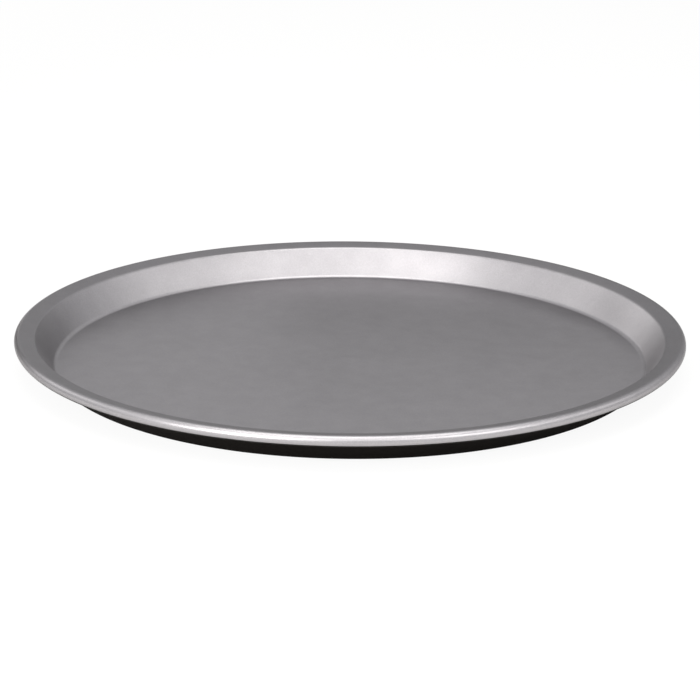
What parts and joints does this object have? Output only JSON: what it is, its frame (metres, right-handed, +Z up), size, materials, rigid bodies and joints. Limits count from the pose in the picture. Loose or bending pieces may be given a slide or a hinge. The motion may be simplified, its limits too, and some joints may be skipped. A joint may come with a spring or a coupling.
{
  "type": "pizza pan",
  "caption": "Shallow round baking pan with a flat base, flared wall, rising flange and thick rolled rim, grey release coat inside and black coat outside.",
  "frame": {"origin": "centre of the pan's flat underside, on the surface it stands on", "axes": "+Z up along the pan's axis; +X and +Y lie in the underside, and the pan is the same all round"},
  "size_m": [0.33, 0.33, 0.0172],
  "materials": {
    "sheet_steel": "cold rolled",
    "steel_wire": "drawn",
    "grey_release_coat": "satin metallic grey",
    "black_coat": "satin black"
  },
  "bodies": {
    "root": {"steel_pressing": "sheet_steel", "rim_wire": "steel_wire", "grey_inner_coat": "grey_release_coat", "black_outer_coat": "black_coat", "black_base_coat": "black_coat"}
  },
  "joints": []
}
